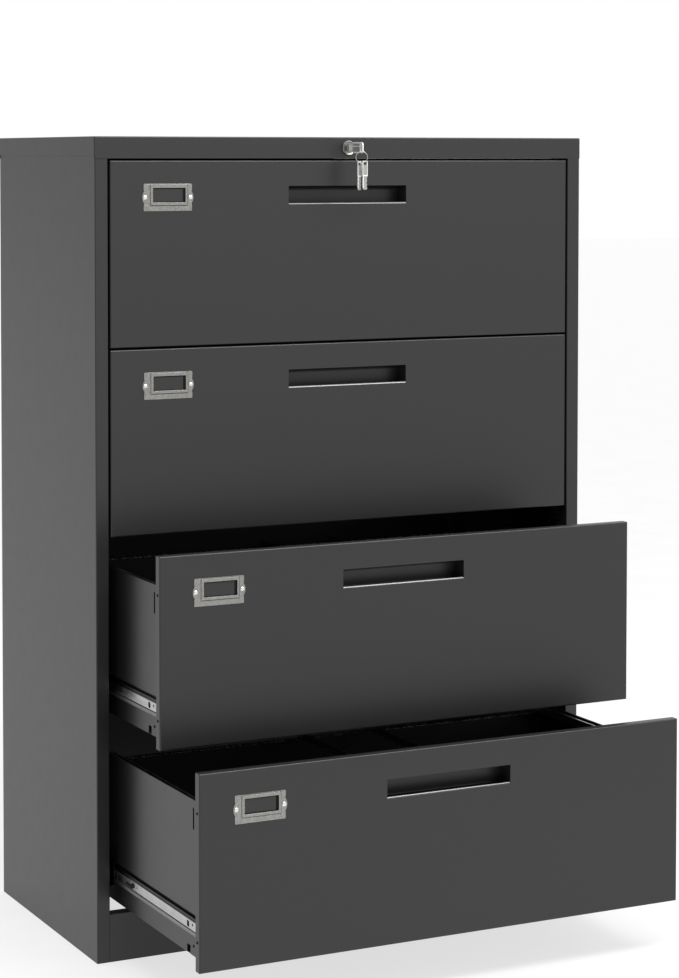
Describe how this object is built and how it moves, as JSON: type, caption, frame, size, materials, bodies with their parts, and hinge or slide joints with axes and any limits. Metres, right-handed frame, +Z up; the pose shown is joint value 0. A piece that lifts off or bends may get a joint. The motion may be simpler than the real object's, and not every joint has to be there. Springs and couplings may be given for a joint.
{
  "type": "lateral filing cabinet",
  "caption": "Lateral filing cabinet of folded sheet steel with drawers on full-extension slides, recessed pulls, label holders and a cam lock that locks every drawer.",
  "frame": {"origin": "on the floor, at the middle of the cabinet's width and of its depth without the open drawers", "axes": "+Z up, -Y out of the front, +X to the right seen from the front; the rest pose has drawer 3 open by 197 mm, drawer 4 by 345 mm, drawers 1 and 2 shut and the lock open"},
  "size_m": [0.9, 0.7961, 1.32],
  "materials": {
    "paint": "charcoal powder coat, satin, fine texture",
    "dark_paint": "dark charcoal powder coat, satin",
    "zinc": "bright zinc plate, slightly cloudy",
    "nickel": "satin nickel plate"
  },
  "bodies": {
    "cabinet": {"top_cap": "paint", "side_panel_left": "paint", "side_panel_right": "paint", "back_panel": "paint", "kick_rail": "paint", "base_frame": "dark_paint", "slide_posts": "dark_paint", "slides_outer": "zinc", "lock_cylinder": "nickel"},
    "drawer_1": {"front_1": "paint", "pull_cup_1": "paint", "label_holder_1": "nickel", "front_fasteners_1": "nickel", "drawer_sides_1": "dark_paint", "inner_front_1": "dark_paint", "drawer_bottom_1": "dark_paint", "drawer_back_1": "dark_paint", "hanger_rails_1": "zinc", "slide_inner_1": "zinc"},
    "slide_middle_1": {"slide_middle_1": "zinc"},
    "drawer_2": {"front_2": "paint", "pull_cup_2": "paint", "label_holder_2": "nickel", "front_fasteners_2": "nickel", "drawer_sides_2": "dark_paint", "inner_front_2": "dark_paint", "drawer_bottom_2": "dark_paint", "drawer_back_2": "dark_paint", "hanger_rails_2": "zinc", "slide_inner_2": "zinc"},
    "slide_middle_2": {"slide_middle_2": "zinc"},
    "drawer_3": {"front_3": "paint", "pull_cup_3": "paint", "label_holder_3": "nickel", "front_fasteners_3": "nickel", "drawer_sides_3": "dark_paint", "inner_front_3": "dark_paint", "drawer_bottom_3": "dark_paint", "drawer_back_3": "dark_paint", "hanger_rails_3": "zinc", "slide_inner_3": "zinc"},
    "slide_middle_3": {"slide_middle_3": "zinc"},
    "drawer_4": {"front_4": "paint", "pull_cup_4": "paint", "label_holder_4": "nickel", "front_fasteners_4": "nickel", "drawer_sides_4": "dark_paint", "inner_front_4": "dark_paint", "drawer_bottom_4": "dark_paint", "drawer_back_4": "dark_paint", "hanger_rails_4": "zinc", "slide_inner_4": "zinc"},
    "slide_middle_4": {"slide_middle_4": "zinc"},
    "lock": {"lock_plug": "nickel", "lock_cam": "zinc", "key": "nickel"},
    "ring_and_keys": {"key_bunch": "nickel"},
    "lock_link": {"lock_link": "zinc"},
    "lock_bar": {"lock_bar": "zinc", "lock_hooks": "zinc"}
  },
  "joints": [
    {"name": "drawer_1_slide", "type": "slide", "parent": "cabinet", "child": "drawer_1", "axis": [0, -1, 0], "range_m": [0, 0.4], "deforming": ["key_bunch"]},
    {"name": "slide_middle_1_slide", "type": "slide", "parent": "cabinet", "child": "slide_middle_1", "axis": [0, -1, 0], "range_m": [0, 0.2]},
    {"name": "drawer_2_slide", "type": "slide", "parent": "cabinet", "child": "drawer_2", "axis": [0, -1, 0], "range_m": [0, 0.4]},
    {"name": "slide_middle_2_slide", "type": "slide", "parent": "cabinet", "child": "slide_middle_2", "axis": [0, -1, 0], "range_m": [0, 0.2]},
    {"name": "drawer_3_slide", "type": "slide", "parent": "cabinet", "child": "drawer_3", "axis": [0, -1, 0], "range_m": [-0.197, 0.203]},
    {"name": "slide_middle_3_slide", "type": "slide", "parent": "cabinet", "child": "slide_middle_3", "axis": [0, -1, 0], "range_m": [-0.0985, 0.1015]},
    {"name": "drawer_4_slide", "type": "slide", "parent": "cabinet", "child": "drawer_4", "axis": [0, -1, 0], "range_m": [-0.345, 0.055]},
    {"name": "slide_middle_4_slide", "type": "slide", "parent": "cabinet", "child": "slide_middle_4", "axis": [0, -1, 0], "range_m": [-0.1725, 0.0275]},
    {"name": "lock_turn", "type": "hinge", "parent": "cabinet", "child": "lock", "pos_m": [0, -0.225, 1.3025], "axis": [0, 1, 0], "range_deg": [0, 90]},
    {"name": "ring_hang", "type": "hinge", "parent": "lock", "child": "ring_and_keys", "pos_m": [0, -0.272, 1.298], "axis": [0, 1, 0], "range_deg": [-90, 0]},
    {"name": "lock_link_slide", "type": "slide", "parent": "cabinet", "child": "lock_link", "axis": [-1, 0, 0], "range_m": [0, 0.012]},
    {"name": "lock_bar_slide", "type": "slide", "parent": "cabinet", "child": "lock_bar", "axis": [0, 0, -1], "range_m": [0, 0.012]}
  ],
  "couplings": [
    {"joint": "slide_middle_1_slide", "follows": "drawer_1_slide", "ratio": 0.5},
    {"joint": "slide_middle_2_slide", "follows": "drawer_2_slide", "ratio": 0.5},
    {"joint": "slide_middle_3_slide", "follows": "drawer_3_slide", "ratio": 0.5},
    {"joint": "slide_middle_4_slide", "follows": "drawer_4_slide", "ratio": 0.5},
    {"joint": "lock_turn", "follows": "lock_bar_slide", "rad_per_m": 130.9},
    {"joint": "ring_hang", "follows": "lock_bar_slide", "rad_per_m": -130.9},
    {"joint": "lock_link_slide", "follows": "lock_bar_slide", "ratio": 1}
  ]
}
